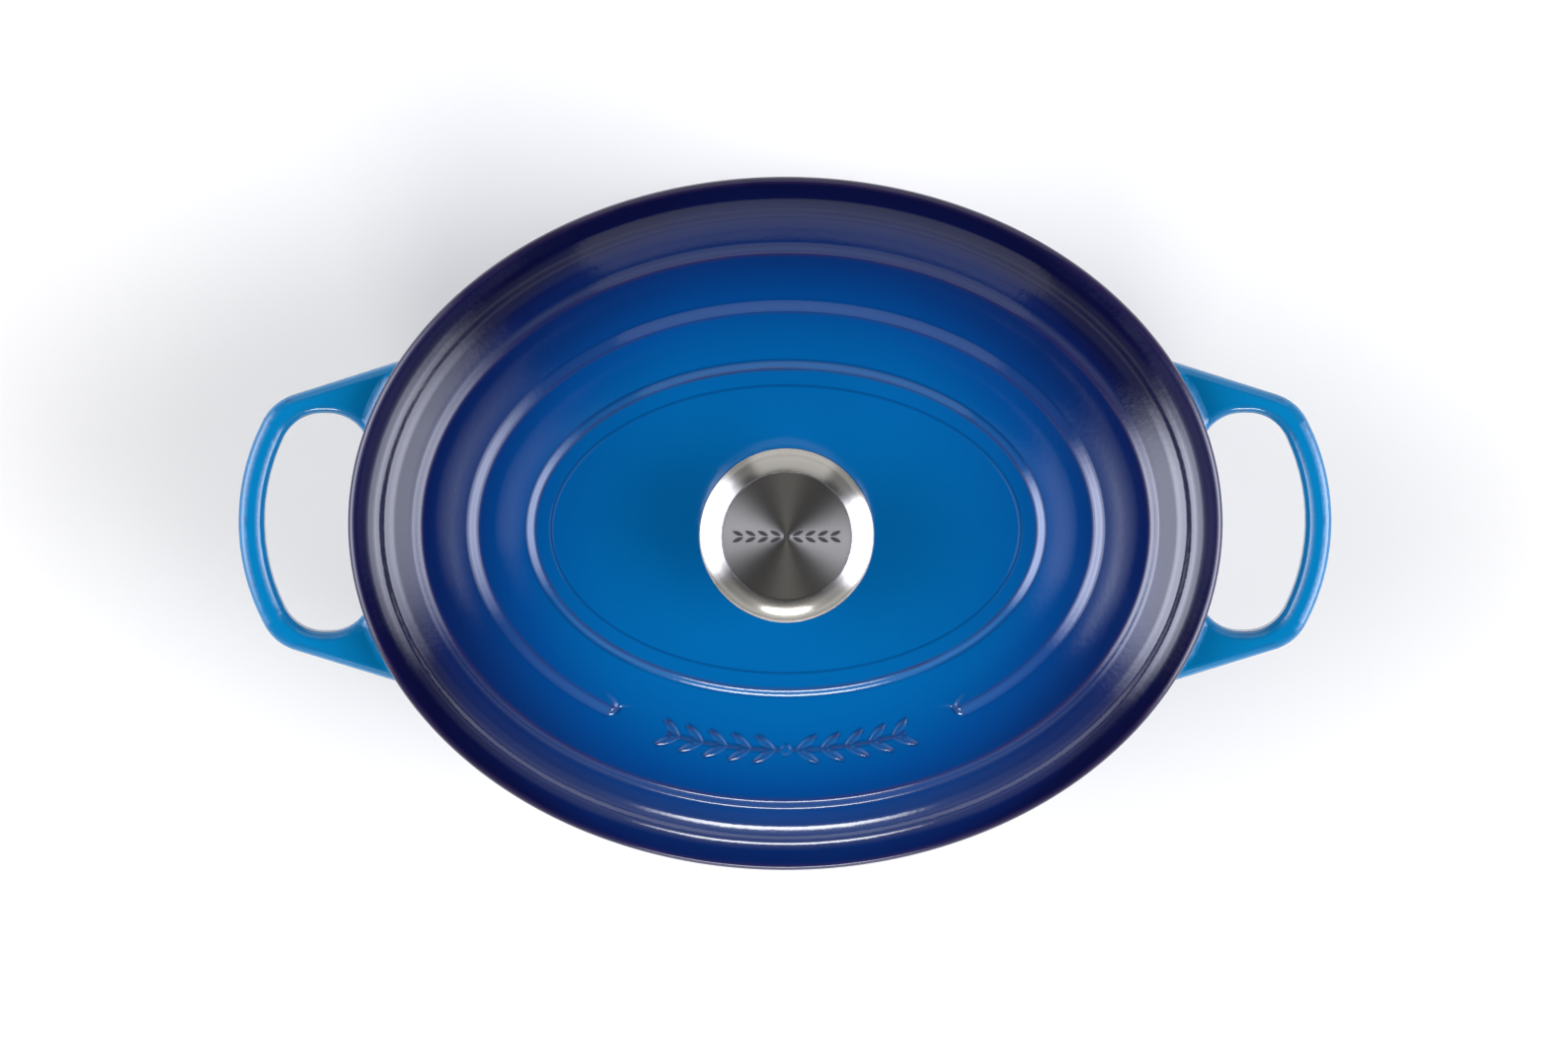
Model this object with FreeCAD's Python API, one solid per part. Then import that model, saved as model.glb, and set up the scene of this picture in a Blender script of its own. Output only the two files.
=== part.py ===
"""Oval enamelled cast iron dutch oven with a lift-off lid and a stainless steel knob.

Millimetres, +Z up, +X along the oval's length. -Y is the front, where the lid has its flat panel.
The origin is the centre of the foot's underside.

Every oval level of the pot and the lid is the lid's outline drawn in by an inset that is equal on both
semi-axes, so walls and steps keep one distance from the edge all the way round. Profiles are drawn as
(inset, height) points, and each is carried round the oval as four exact quarter surfaces. The faces that
something rests on, the foot, the rim and the lid's seat, are true planes.
"""

import math
import os

import FreeCAD
import Part

Vector = FreeCAD.Vector
UP = Vector(0, 0, 1)

# ---- overall ----
HALF_LENGTH = 147.2       # the lid's outline, semi-axis along X
HALF_WIDTH = 117.0        # the lid's outline, semi-axis along Y
POT_HEIGHT = 110.0        # foot to the rim that the lid rests on
LID_SEAT_GAP = 0.1        # enamel on enamel, kept just clear
LID_Z = POT_HEIGHT + LID_SEAT_GAP

# ---- pot ----
LIP_INSET = 2.2           # outer face of the thick lip under the lid
LIP_HEIGHT = 6.0
LIP_EDGE_RADIUS = 1.2
WALL_INSET_TOP = 4.2      # outer wall just under the lip
WALL_INSET_LOW = 10.5     # outer wall where the bottom corner starts
WALL_LOW_Z = 30.0
WALL = 3.5                # iron with its enamel
BORE_INSET_TOP = 7.6      # inner wall at the rim
FLOOR_Z = 5.0             # cooking floor
FLOOR_INSET = 37.0        # where the inner corner meets the flat floor
FOOT_OUTER_INSET = 34.0
FOOT_INNER_INSET = 51.0
FOOT_RECESS = 1.0         # the middle of the base stands clear of the table

# ---- loop handles ----
HANDLE_REACH = 185.1      # centre of the pot to the outer edge of the grip
GRIP_WIDTH = 8.7
GRIP_OUTER_RADIUS = 75.0
GRIP_CORNER_RADIUS = 17.0
HOLE_CORNER_RADIUS = 14.5
HOLE_HALF_LENGTH = 37.1   # finger hole, half its length along Y
HOLE_POT_SIDE_X = 140.3   # where the pot side corners would end; the wall closes the hole
HOLE_SIDE_LEAN_DEG = 20.0  # the hole's pot side runs on into the wall at this angle
ARM_SLOPE_DEG = 17.5      # the arms splay towards the pot
ARM_X, ARM_Y = 151.5, 48.0  # a point on an arm's outer edge
ARM_END_X = 112.0
HANDLE_TOP_ROOT_Z = 103.5
HANDLE_TOP_TIP_Z = 107.0
HANDLE_UNDER_ROOT_Z = 88.0
HANDLE_UNDER_TIP_Z = 96.5
HANDLE_EDGE_RADIUS = 3.2
HANDLE_ROOT_RADIUS = 5.0  # the cast fillet where a handle leaves the wall
ROOT_INSET = 6.2          # the handles are trimmed here, inside the thickness of the wall
UPRIGHT_EDGE_RISE = 8.0   # a handle's edge that rises more than this is not rounded

# ---- lid ----
FLANGE_THICKNESS = 7.0
FLANGE_TOP_RADIUS = 2.2
FLANGE_LOW_RADIUS = 0.9
LID_RISES = [             # where each rise of the top starts, where it ends, and its height
    (2.2, 6.4, 0.2),      # the rim band's slight crown
    (5.4, 17.0, 4.4),     # the first riser
    (9.5, 13.5, 0.95),    # and its short steeper middle
    (11.5, 25.5, 3.2),    # the shoulder
    (21.8, 25.8, 1.9),    # the second riser, up to the first terrace
    (29.5, 41.8, 1.75),
    (40.3, 45.1, 2.1),    # the third riser, up to the second terrace
    (49.5, 61.0, 1.2),
    (60.4, 63.8, 1.6),    # the fourth riser, up to the plateau
]
PANEL_START, PANEL_END = 29.5, 61.0  # at the front an even slope replaces the rises between these insets
PANEL_RISES = LID_RISES[5:8]
PANEL_HALF_ANGLE = 33.6   # how far the panel reaches each side of the front
PANEL_FADE_ANGLE = 3.0    # over which the third riser rounds off into the panel
GROOVE_INSET, GROOVE_WIDTH, GROOVE_DEPTH = 69.0, 1.8, 0.1  # the line round the plateau
PLATEAU_INSET = 71.5
PROFILE_STEP = 0.65       # spacing of the poles of the top's profile
SKIRT_OUTER_INSET = 9.0   # the skirt that keeps the lid in the pot's mouth
SKIRT_INNER_INSET = 12.3
SKIRT_DEPTH = 6.5
LID_UNDERSIDE = [(12.7, 2.0), (13.9, 6.9), (17.0, 9.6), (21.8, 11.6), (27.0, 13.7), (38.0, 15.4),
                 (46.0, 17.3), (58.0, 19.1), (63.0, 20.3), (68.0, 20.3)]
LUG_ANGLES = (40, 140, 220, 320)  # small cast lugs that centre the skirt
LUG_RADIUS = 2.2
LUG_PROUD = 0.8
LUG_HEIGHT = 5.5
LUG_BITE = 0.5            # how far a lug runs up into the flange
SCREW_HOLE_RADIUS = 3.4

# ---- knob, its heights counted from the plateau ----
KNOB_RADIUS = 28.9
KNOB_HEIGHT = 31.0
KNOB_FACE_RADIUS = 21.5
KNOB_FACE_RECESS = 0.4
KNOB_FACE_STEP = 0.5      # width of the small slope from the face up to the bevel
KNOB_BEVEL_FALL = 4.2     # the bevel's drop from the face's edge to where the rim turns down
KNOB_RIM_Z = 23.4         # the seam between the cap and the lower shell
KNOB_RIM_TUCK = 0.7       # the rim turns in by this much at the seam
KNOB_SEAM_GAP = 0.02
KNOB_SHEET = 1.2
KNOB_NECK_RADIUS = 10.5
KNOB_NECK_Z = 7.0
KNOB_FOOT_RADIUS = 13.5
KNOB_FOOT_THICKNESS = 1.6
KNOB_FOOT_EDGE = 0.6      # the bevel under the foot's edge
INSERT_RADIUS = 5.5
INSERT_FLANGE_RADIUS = 8.0
INSERT_FLANGE_THICKNESS = 2.0
INSERT_LOW_Z = 0.3        # the bush stays clear of the lid
INSERT_TOP_Z = 15.0
INSERT_CLEARANCE = 0.05
THREAD_RADIUS = 2.5
THREAD_CLEARANCE = 0.05
SCREW_TIP_Z = 12.0
SCREW_TIP_BEVEL = 0.6
SCREW_HEAD_RADIUS = 5.0
SCREW_HEAD_HEIGHT = 3.4
SCREW_HEAD_ROUND = 1.6
RECESS_ARM, RECESS_WIDTH, RECESS_DEPTH = 5.6, 1.2, 2.0  # the cross in the screw's head
FLAT_WASHER_RADIUS, FLAT_WASHER_THICKNESS = 8.0, 1.2
SPRING_WASHER_RADIUS, SPRING_WASHER_THICKNESS, SPRING_WASHER_SPLIT = 4.6, 1.4, 0.8
WASHER_HOLE_RADIUS = 2.7

QUARTERS = (-45, 45, 135, 225)  # each quarter of the oval starts at this angle
FRONT_QUARTER = 225
HALF_QUARTER_DEG = 45
HALF_QUARTER = math.radians(HALF_QUARTER_DEG)
ARC_RISE = 1 - math.cos(HALF_QUARTER)


# ---- profiles in the plane of inset and height ----
def smooth_step(x, start, end):
    t = min(max((x - start) / (end - start), 0), 1)
    return t * t * (3 - 2 * t)


def rises(inset, steps):
    return sum(height * smooth_step(inset, start, end) for start, end, height in steps)


def groove(inset):
    off = abs(inset - GROOVE_INSET) / (GROOVE_WIDTH / 2)
    return -GROOVE_DEPTH * (1 + math.cos(math.pi * min(off, 1))) / 2


def lid_top(inset):
    """Height of the lid's stepped top above the flange's underside."""
    return FLANGE_THICKNESS + rises(inset, LID_RISES) + groove(inset)


def lid_top_panel(inset):
    """The same through the front panel, where one even slope takes the place of the middle rises."""
    share = min(max((inset - PANEL_START) / (PANEL_END - PANEL_START), 0), 1)
    slope = share * sum(height for start, end, height in PANEL_RISES)
    return lid_top(inset) - rises(inset, PANEL_RISES) + slope


def spline(points):
    """A cubic spline in the profile's plane with the points as its poles, passing through both ends."""
    spans = len(points) - 3
    curve = Part.BSplineCurve()
    curve.buildFromPolesMultsKnots(
        [Vector(inset, 0, z) for inset, z in points],
        [4] + [1] * (spans - 1) + [4], list(range(spans + 1)), False, 3)
    return curve


def line(start, end):
    return Part.LineSegment(Vector(start[0], 0, start[1]), Vector(end[0], 0, end[1])).toBSpline()


def round_corner(start, corner, end):
    """A quarter arc from start to end inside a square corner."""
    middle = [c + (s - c + e - c) * ARC_RISE for s, c, e in zip(start, corner, end)]
    ends = [Vector(p[0], 0, p[1]) for p in (start, middle, end)]
    return Part.Arc(*ends).toBSpline()


# ---- heights that follow from the lid's profile ----
PLATEAU_Z = lid_top(PLATEAU_INSET)
UNDERSIDE_Z = LID_UNDERSIDE[-1][1] - PLATEAU_Z  # the lid's underside at the screw, from the plateau
SCREW_SEAT_Z = UNDERSIDE_Z - FLAT_WASHER_THICKNESS - SPRING_WASHER_THICKNESS


# ---- surfaces round the oval ----
def quarter_poles(start_deg):
    """Poles and weights of a quarter of the unit circle, as one rational quadratic."""
    bulge = math.cos(HALF_QUARTER)
    found = []
    for turn, reach, weight in ((0, 1, 1), (45, 1 / bulge, bulge), (90, 1, 1)):
        angle = math.radians(start_deg + turn)
        found.append((reach * math.cos(angle), reach * math.sin(angle), weight))
    return found


def oval_surface(profile, start_deg):
    """The profile carried round one quarter of the oval."""
    profile_poles = list(zip(profile.getPoles(), profile.getWeights()))
    poles, weights = [], []
    for cx, cy, weight in quarter_poles(start_deg):
        poles.append([Vector((HALF_LENGTH - p.x) * cx, (HALF_WIDTH - p.x) * cy, p.z)
                      for p, w in profile_poles])
        weights.append([w * weight for p, w in profile_poles])
    surface = Part.BSplineSurface()
    surface.buildFromPolesMultsKnots(
        poles, [3, 3], profile.getMultiplicities(), [0, 1], profile.getKnots(),
        False, False, 2, profile.Degree, weights)
    return surface


def oval_faces(profile, quarters=QUARTERS):
    return [oval_surface(profile, start).toShape() for start in quarters]


def oval_wire(inset, z):
    edges = []
    for start in QUARTERS:
        found = quarter_poles(start)
        curve = Part.BSplineCurve()
        curve.buildFromPolesMultsKnots(
            [Vector((HALF_LENGTH - inset) * cx, (HALF_WIDTH - inset) * cy, z) for cx, cy, w in found],
            [3, 3], [0, 1], False, 2, [w for cx, cy, w in found])
        edges.append(curve.toShape())
    return Part.Wire(edges)


def oval_disc(inset, z):
    return Part.Face(oval_wire(inset, z))


def oval_ring(outer_inset, inner_inset, z):
    """A flat ring between two oval levels."""
    return Part.makeFace([oval_wire(outer_inset, z), oval_wire(inner_inset, z)], "Part::FaceMakerBullseye")


def oval_prism(inset, low, high):
    return oval_disc(inset, low).extrude(UP * (high - low))


def closed_solid(faces):
    shell = Part.makeShell(faces)
    shell.sewShape()
    solid = Part.Solid(shell)
    if solid.Volume < 0:
        solid.reverse()
    return solid


def turned(outline):
    """A solid turned about Z from (radius, z) points. Four numbers are an arc's end and then its middle."""
    edges = []
    here = Vector(outline[0][0], 0, outline[0][1])
    for point in outline[1:] + outline[:1]:
        there = Vector(point[0], 0, point[1])
        if len(point) == 4:
            edges.append(Part.Arc(here, Vector(point[2], 0, point[3]), there).toShape())
        else:
            edges.append(Part.LineSegment(here, there).toShape())
        here = there
    return Part.Face(Part.Wire(edges)).revolve(Vector(), UP, 360)


def ring(outer, inner, low, high):
    return turned([(inner, low), (outer, low), (outer, high), (inner, high)])


# ---- pot ----
def pot_vessel():
    lip_low = POT_HEIGHT - LIP_HEIGHT
    outer_wall = spline([
        (LIP_INSET, POT_HEIGHT - LIP_EDGE_RADIUS), (LIP_INSET, lip_low + 2.5), (LIP_INSET, lip_low + 0.5),
        (WALL_INSET_TOP, lip_low - 1.5), (WALL_INSET_TOP + 0.3, lip_low - 8),
        (WALL_INSET_LOW - 2.4, WALL_LOW_Z + 28), (WALL_INSET_LOW - 0.3, WALL_LOW_Z + 5),
        (WALL_INSET_LOW + 1.5, WALL_LOW_Z - 13), (WALL_INSET_LOW + 7, 6.2),
        (FOOT_OUTER_INSET - 11, 1.6), (FOOT_OUTER_INSET - 3.5, 0), (FOOT_OUTER_INSET, 0)])
    inner_inset = WALL_INSET_LOW + WALL
    inner_wall = spline([
        (BORE_INSET_TOP, POT_HEIGHT - LIP_EDGE_RADIUS), (BORE_INSET_TOP, lip_low - 2),
        (BORE_INSET_TOP + 0.6, lip_low - 12), (inner_inset - 2.2, WALL_LOW_Z + 30),
        (inner_inset, WALL_LOW_Z + 7), (inner_inset + 1.8, WALL_LOW_Z - 10),
        (inner_inset + 7.5, FLOOR_Z + 3.2), (FLOOR_INSET - 7, FLOOR_Z), (FLOOR_INSET, FLOOR_Z)])
    rim_outer = round_corner((LIP_INSET, POT_HEIGHT - LIP_EDGE_RADIUS), (LIP_INSET, POT_HEIGHT),
                             (LIP_INSET + LIP_EDGE_RADIUS, POT_HEIGHT))
    rim_inner = round_corner((BORE_INSET_TOP - LIP_EDGE_RADIUS, POT_HEIGHT), (BORE_INSET_TOP, POT_HEIGHT),
                             (BORE_INSET_TOP, POT_HEIGHT - LIP_EDGE_RADIUS))
    recess_inset = FOOT_INNER_INSET + 2 * FOOT_RECESS
    recess_edge = line((FOOT_INNER_INSET, 0), (recess_inset, FOOT_RECESS))
    faces = [
        oval_disc(recess_inset, FOOT_RECESS), oval_disc(FLOOR_INSET, FLOOR_Z),
        oval_ring(FOOT_OUTER_INSET, FOOT_INNER_INSET, 0),
        oval_ring(LIP_INSET + LIP_EDGE_RADIUS, BORE_INSET_TOP - LIP_EDGE_RADIUS, POT_HEIGHT)]
    for profile in (outer_wall, inner_wall, rim_outer, rim_inner, recess_edge):
        faces += oval_faces(profile)
    return closed_solid(faces)


def mirror_y(point):
    return Vector(point.x, -point.y, point.z)


def loop_outline():
    """Outer edge of a loop handle in plan: arm, corner, grip, corner, arm."""
    slope = math.radians(ARM_SLOPE_DEG)
    across = Vector(math.sin(slope), math.cos(slope), 0)
    along = Vector(math.cos(slope), -math.sin(slope), 0)
    grip_centre = Vector(HANDLE_REACH - GRIP_OUTER_RADIUS, 0, 0)
    reach = GRIP_OUTER_RADIUS - GRIP_CORNER_RADIUS
    offset = across.dot(Vector(ARM_X, ARM_Y, 0) - grip_centre) - GRIP_CORNER_RADIUS
    corner = grip_centre + across * offset + along * math.sqrt(reach**2 - offset**2)
    outward = (corner - grip_centre).normalize()
    arm_tangent = corner + across * GRIP_CORNER_RADIUS
    grip_tangent = corner + outward * GRIP_CORNER_RADIUS
    corner_middle = corner + (across + outward).normalize() * GRIP_CORNER_RADIUS
    arm_end = arm_tangent - along * ((arm_tangent.x - ARM_END_X) / along.x)
    edges = [
        Part.LineSegment(arm_end, arm_tangent),
        Part.Arc(arm_tangent, corner_middle, grip_tangent),
        Part.Arc(grip_tangent, Vector(HANDLE_REACH, 0, 0), mirror_y(grip_tangent)),
        Part.Arc(mirror_y(grip_tangent), mirror_y(corner_middle), mirror_y(arm_tangent)),
        Part.LineSegment(mirror_y(arm_tangent), mirror_y(arm_end)),
        Part.LineSegment(mirror_y(arm_end), arm_end),
    ]
    return Part.Wire([edge.toShape() for edge in edges])


def finger_hole_outline():
    """The finger hole in plan: the grip's inner arc, four round corners, and a pot side inside the wall."""
    radius = GRIP_OUTER_RADIUS - GRIP_WIDTH
    centre = Vector(HANDLE_REACH - GRIP_OUTER_RADIUS, 0, 0)
    corner_y = HOLE_HALF_LENGTH - HOLE_CORNER_RADIUS
    corner_x = centre.x + math.sqrt((radius - HOLE_CORNER_RADIUS)**2 - corner_y**2)
    corner = Vector(corner_x, corner_y, 0)
    outward = (corner - centre).normalize()
    grip_tangent = corner + outward * HOLE_CORNER_RADIUS
    grip_middle = corner + (outward + Vector(0, 1, 0)).normalize() * HOLE_CORNER_RADIUS
    top = corner + Vector(0, HOLE_CORNER_RADIUS, 0)
    pot_corner = Vector(HOLE_POT_SIDE_X + HOLE_CORNER_RADIUS, corner_y, 0)
    pot_top = pot_corner + Vector(0, HOLE_CORNER_RADIUS, 0)
    lean = math.radians(HOLE_SIDE_LEAN_DEG)
    pot_middle = pot_corner + Vector(-1, 1, 0).normalize() * HOLE_CORNER_RADIUS
    pot_side = pot_corner + Vector(-math.cos(lean), math.sin(lean), 0) * HOLE_CORNER_RADIUS
    pot_point = Vector(pot_side.x - pot_side.y * math.tan(lean), 0, 0)
    edges = [
        Part.Arc(grip_tangent, grip_middle, top),
        Part.LineSegment(top, pot_top),
        Part.Arc(pot_top, pot_middle, pot_side),
        Part.LineSegment(pot_side, pot_point),
        Part.LineSegment(pot_point, mirror_y(pot_side)),
        Part.Arc(mirror_y(pot_side), mirror_y(pot_middle), mirror_y(pot_top)),
        Part.LineSegment(mirror_y(pot_top), mirror_y(top)),
        Part.Arc(mirror_y(top), mirror_y(grip_middle), mirror_y(grip_tangent)),
        Part.Arc(mirror_y(grip_tangent), centre + Vector(radius, 0, 0), grip_tangent),
    ]
    return Part.Wire([edge.toShape() for edge in edges])


def loop_handle():
    """One loop handle on the +X side. It tapers in thickness from the root to the grip."""
    plan = Part.Face(loop_outline()).cut(Part.Face(finger_hole_outline()))
    block = plan.extrude(UP * POT_HEIGHT)
    corners = [
        (ARM_END_X, HANDLE_UNDER_ROOT_Z), (HANDLE_REACH, HANDLE_UNDER_TIP_Z),
        (HANDLE_REACH, HANDLE_TOP_TIP_Z), (ARM_END_X, HANDLE_TOP_ROOT_Z), (ARM_END_X, HANDLE_UNDER_ROOT_Z)]
    side = Part.makePolygon([Vector(x, -HALF_WIDTH, z) for x, z in corners])
    taper = Part.Face(side).extrude(Vector(0, 2 * HALF_WIDTH, 0))
    handle = block.common(taper).Solids[0]
    edges = [edge for edge in handle.Edges
             if edge.BoundBox.XMax > ARM_END_X + 1 and edge.BoundBox.ZLength < UPRIGHT_EDGE_RISE]
    rounded = handle.makeFillet(HANDLE_EDGE_RADIUS, edges)
    return rounded.cut(oval_prism(ROOT_INSET, 0, POT_HEIGHT)).Solids[0]


def pot():
    """The vessel and its two handles, one iron casting."""
    handle = loop_handle()
    casting = pot_vessel().fuse([handle, handle.mirror(Vector(), Vector(1, 0, 0))]).Solids[0]
    lip_low = POT_HEIGHT - LIP_HEIGHT
    walls = [face for face in casting.Faces if face.BoundBox.ZMin < 1 and face.BoundBox.ZMax > lip_low
             and face.BoundBox.XLength < 2 * HALF_WIDTH and face.BoundBox.YLength > HALF_WIDTH]
    roots = [edge for wall in walls for edge in wall.Edges
             if edge.BoundBox.ZMin > HANDLE_UNDER_ROOT_Z and edge.BoundBox.ZMax < HANDLE_TOP_TIP_Z]
    return casting.makeFillet(HANDLE_ROOT_RADIUS, roots).Solids[0]


# ---- lid ----
def lid_top_poles():
    count = round((PLATEAU_INSET - FLANGE_TOP_RADIUS) / PROFILE_STEP)
    insets = [FLANGE_TOP_RADIUS + (PLATEAU_INSET - FLANGE_TOP_RADIUS) * i / count for i in range(count + 1)]
    return [(inset, lid_top(inset)) for inset in insets]


def front_quarter_top(profile):
    """The top's front quarter, where the middle rises give way to the panel's even slope."""
    surface = oval_surface(profile, FRONT_QUARTER)
    half_turn = math.tan(HALF_QUARTER / 2)
    fade = PANEL_FADE_ANGLE / 2

    def share_at(angle):
        return 0.5 + 0.5 * math.tan(math.radians(angle) / 2) / half_turn

    def angle_at(share):
        return abs(math.degrees(2 * math.atan((2 * share - 1) * half_turn)))

    for step in range(-HALF_QUARTER_DEG + 5, HALF_QUARTER_DEG - 4):
        surface.insertUKnot(share_at(step), 1, 1e-9)
    knots = surface.getUKnots()
    flat = [knot for knot, count in zip(knots, surface.getUMultiplicities()) for _ in range(count)]
    for i in range(1, surface.NbUPoles + 1):
        angle = angle_at((flat[i] + flat[i + 1]) / 2)
        panel = 1 - smooth_step(angle, PANEL_HALF_ANGLE - fade, PANEL_HALF_ANGLE + fade)
        for j in range(1, surface.NbVPoles + 1):
            pole = surface.getPole(i, j)
            inset = profile.getPole(j).x
            pole.z += panel * (lid_top_panel(inset) - lid_top(inset))
            surface.setPole(i, j, pole)
    return surface.toShape()


def lid():
    """The lid's casting: stepped top, flange, hollow underside and locating skirt."""
    top = spline(lid_top_poles())
    edge_top = round_corner((0, FLANGE_THICKNESS - FLANGE_TOP_RADIUS), (0, FLANGE_THICKNESS),
                            (FLANGE_TOP_RADIUS, FLANGE_THICKNESS))
    edge = line((0, FLANGE_LOW_RADIUS), (0, FLANGE_THICKNESS - FLANGE_TOP_RADIUS))
    edge_low = round_corner((FLANGE_LOW_RADIUS, 0), (0, 0), (0, FLANGE_LOW_RADIUS))
    tip = 1 - SKIRT_DEPTH
    hollow = spline([
        (SKIRT_OUTER_INSET, 0), (SKIRT_OUTER_INSET, tip), (SKIRT_OUTER_INSET + 0.4, -SKIRT_DEPTH),
        (SKIRT_INNER_INSET - 0.4, -SKIRT_DEPTH), (SKIRT_INNER_INSET, tip)] + LID_UNDERSIDE)
    under_inset, under_z = LID_UNDERSIDE[-1]
    faces = oval_faces(top, [start for start in QUARTERS if start != FRONT_QUARTER])
    faces.append(front_quarter_top(top))
    for profile in (edge_top, edge, edge_low, hollow):
        faces += oval_faces(profile)
    faces.append(oval_disc(PLATEAU_INSET, lid_top(PLATEAU_INSET)))
    faces.append(oval_disc(under_inset, under_z))
    faces.append(oval_ring(FLANGE_LOW_RADIUS, SKIRT_OUTER_INSET, 0))
    casting = closed_solid(faces)
    lug_inset = SKIRT_OUTER_INSET - LUG_PROUD + LUG_RADIUS
    for angle in LUG_ANGLES:
        turn = math.radians(angle)
        x = (HALF_LENGTH - lug_inset) * math.cos(turn)
        y = (HALF_WIDTH - lug_inset) * math.sin(turn)
        lug = Part.makeCylinder(LUG_RADIUS, LUG_HEIGHT + LUG_BITE, Vector(x, y, -LUG_HEIGHT))
        casting = casting.fuse(lug)
    casting = casting.cut(Part.makeCylinder(SCREW_HOLE_RADIUS, 2 * PLATEAU_Z))
    return casting.Solids[0].translated(UP * LID_Z)


# ---- knob ----
def knob_cap():
    """The knob's pressed top: a spun face set just below a polished convex bevel, and a rim turned down."""
    face_z = KNOB_HEIGHT - KNOB_FACE_RECESS
    face_edge = KNOB_FACE_RADIUS - KNOB_FACE_STEP
    seam_radius = KNOB_RADIUS - KNOB_RIM_TUCK
    inner = KNOB_RADIUS - KNOB_SHEET
    bevel_middle = (KNOB_RADIUS - 3.7, KNOB_HEIGHT - 1.67)
    rim_middle = (KNOB_RADIUS, KNOB_HEIGHT - 6.0)
    inner_bevel_middle = (inner - 3.1, KNOB_HEIGHT - 3.1)
    inner_rim_middle = (inner, KNOB_HEIGHT - 6.2)
    return turned([
        (0, face_z), (face_edge, face_z), (KNOB_FACE_RADIUS, KNOB_HEIGHT),
        (KNOB_RADIUS - KNOB_FACE_STEP, KNOB_HEIGHT - KNOB_BEVEL_FALL, *bevel_middle),
        (seam_radius, KNOB_RIM_Z, *rim_middle), (seam_radius - KNOB_SHEET, KNOB_RIM_Z),
        (inner - KNOB_FACE_STEP, KNOB_HEIGHT - KNOB_BEVEL_FALL - KNOB_SHEET / 2, *inner_rim_middle),
        (KNOB_FACE_RADIUS, KNOB_HEIGHT - KNOB_FACE_RECESS - KNOB_SHEET, *inner_bevel_middle),
        (face_edge, face_z - KNOB_SHEET), (0, face_z - KNOB_SHEET)])


def knob_body():
    """The knob's lower shell: a cone under the rim, a waist and a foot that stands on the lid."""
    rim = KNOB_RADIUS - KNOB_RIM_TUCK - 0.1
    rim_z = KNOB_RIM_Z - KNOB_SEAM_GAP
    neck = KNOB_NECK_RADIUS
    bore = INSERT_RADIUS + INSERT_CLEARANCE
    waist_middle = (neck + 0.7, KNOB_NECK_Z / 2 + 0.6)
    cone_middle = (neck + 5.4, KNOB_NECK_Z + 9.0)
    rim_middle = (rim - 0.6, rim_z - 2.2)
    inner_rim_middle = (rim - 3.0, rim_z - 1.8)
    inner_cone_middle = (neck + 3.8, KNOB_NECK_Z + 8.6)
    return turned([
        (bore, 0), (KNOB_FOOT_RADIUS - KNOB_FOOT_EDGE, 0), (KNOB_FOOT_RADIUS, KNOB_FOOT_EDGE),
        (KNOB_FOOT_RADIUS - KNOB_FOOT_EDGE, KNOB_FOOT_THICKNESS),
        (neck, KNOB_NECK_Z, *waist_middle), (rim - 3.4, rim_z - 3.4, *cone_middle),
        (rim, rim_z, *rim_middle), (rim - 2 * KNOB_SHEET, rim_z),
        (rim - 4.6, rim_z - 3.0, *inner_rim_middle), (neck - KNOB_SHEET, KNOB_NECK_Z, *inner_cone_middle),
        (neck - KNOB_SHEET, KNOB_FOOT_THICKNESS), (bore, KNOB_FOOT_THICKNESS)])


def knob_insert():
    """A flanged, tapped bush that stands on the foot inside the knob's neck."""
    low = KNOB_FOOT_THICKNESS
    return turned([
        (THREAD_RADIUS, INSERT_LOW_Z), (INSERT_RADIUS, INSERT_LOW_Z), (INSERT_RADIUS, low),
        (INSERT_FLANGE_RADIUS, low), (INSERT_FLANGE_RADIUS, low + INSERT_FLANGE_THICKNESS),
        (INSERT_RADIUS, low + INSERT_FLANGE_THICKNESS), (INSERT_RADIUS, INSERT_TOP_Z),
        (THREAD_RADIUS, INSERT_TOP_Z)])


def knob_screw():
    """A pan head machine screw that comes up through the lid into the bush."""
    shank = THREAD_RADIUS - THREAD_CLEARANCE
    low = SCREW_SEAT_Z - SCREW_HEAD_HEIGHT
    edge = SCREW_HEAD_RADIUS
    head_middle = (edge - 0.5, low + 0.5)
    screw = turned([
        (0, low), (edge - SCREW_HEAD_ROUND, low), (edge, low + SCREW_HEAD_ROUND, *head_middle),
        (edge, SCREW_SEAT_Z), (shank, SCREW_SEAT_Z), (shank, SCREW_TIP_Z - SCREW_TIP_BEVEL),
        (shank - SCREW_TIP_BEVEL, SCREW_TIP_Z), (0, SCREW_TIP_Z)])
    for length, width in ((RECESS_ARM, RECESS_WIDTH), (RECESS_WIDTH, RECESS_ARM)):
        corner = Vector(-length / 2, -width / 2, low - RECESS_DEPTH)
        screw = screw.cut(Part.makeBox(length, width, 2 * RECESS_DEPTH, corner))
    return screw


def flat_washer():
    return ring(FLAT_WASHER_RADIUS, WASHER_HOLE_RADIUS, UNDERSIDE_Z - FLAT_WASHER_THICKNESS, UNDERSIDE_Z)


def spring_washer():
    """A split lock washer, pressed flat."""
    top = SCREW_SEAT_Z + SPRING_WASHER_THICKNESS
    washer = ring(SPRING_WASHER_RADIUS, WASHER_HOLE_RADIUS, SCREW_SEAT_Z, top)
    corner = Vector(0, -SPRING_WASHER_SPLIT / 2, SCREW_SEAT_Z)
    split = Part.makeBox(SPRING_WASHER_RADIUS, SPRING_WASHER_SPLIT, SPRING_WASHER_THICKNESS, corner)
    return washer.cut(split)


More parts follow.
